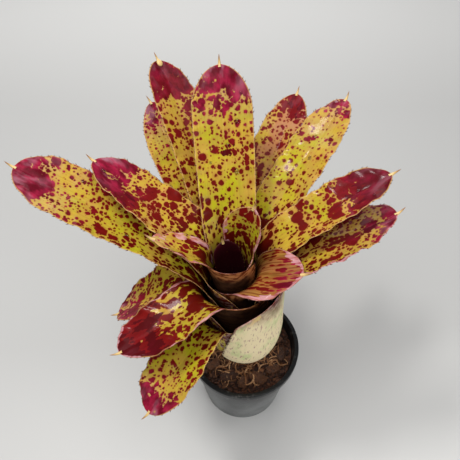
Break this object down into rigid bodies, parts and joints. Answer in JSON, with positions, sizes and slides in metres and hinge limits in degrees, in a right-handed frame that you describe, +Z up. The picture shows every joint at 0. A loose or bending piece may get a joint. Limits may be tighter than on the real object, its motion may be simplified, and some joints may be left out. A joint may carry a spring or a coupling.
{
  "type": "potted bromeliad",
  "caption": "Spotted bromeliad: a funnel-shaped rosette of strap leaves on a short leaning stem, in a round tapered nursery pot filled with husk mix.",
  "frame": {"origin": "middle of the pot's underside, on the surface that the pot stands on", "axes": "+Z up; -Y is the front, where the rosette is open and the pale outer sheath shows; +X to the right seen from the front; the plant leans towards -X"},
  "size_m": [0.263, 0.2276, 0.3152],
  "materials": {
    "pot_plastic": "thin black nursery plastic, satin, a little dusty",
    "potting_mix": "moist coir and husk, rough",
    "husk": "fibrous husk chip, rough",
    "stem": "dry orange-brown stem",
    "leaf": "yellow-green leaf with maroon spots and tips, satin and waxy",
    "heart_leaf": "young dark maroon leaf, satin"
  },
  "bodies": {
    "root": {"pot": "pot_plastic", "potting_mix": "potting_mix", "husk_chip_1": "husk", "husk_chip_2": "husk", "husk_chip_3": "husk", "husk_chip_4": "husk", "husk_chip_5": "husk", "husk_chip_6": "husk", "husk_chip_7": "husk", "husk_chip_8": "husk", "husk_chip_9": "husk", "husk_chip_10": "husk", "husk_chip_11": "husk", "stem": "stem", "heart_leaf": "heart_leaf", "inner_back_leaf": "leaf", "inner_left_leaf": "leaf", "inner_right_leaf": "leaf", "back_leaf": "leaf", "left_back_leaf": "leaf", "right_leaf": "leaf", "left_leaf": "leaf", "right_back_leaf": "leaf", "front_left_leaf": "leaf", "back_left_leaf": "leaf", "back_right_leaf": "leaf", "lower_left_leaf": "leaf", "far_back_left_leaf": "leaf", "front_leaf": "leaf", "lower_right_leaf": "leaf"}
  },
  "joints": []
}
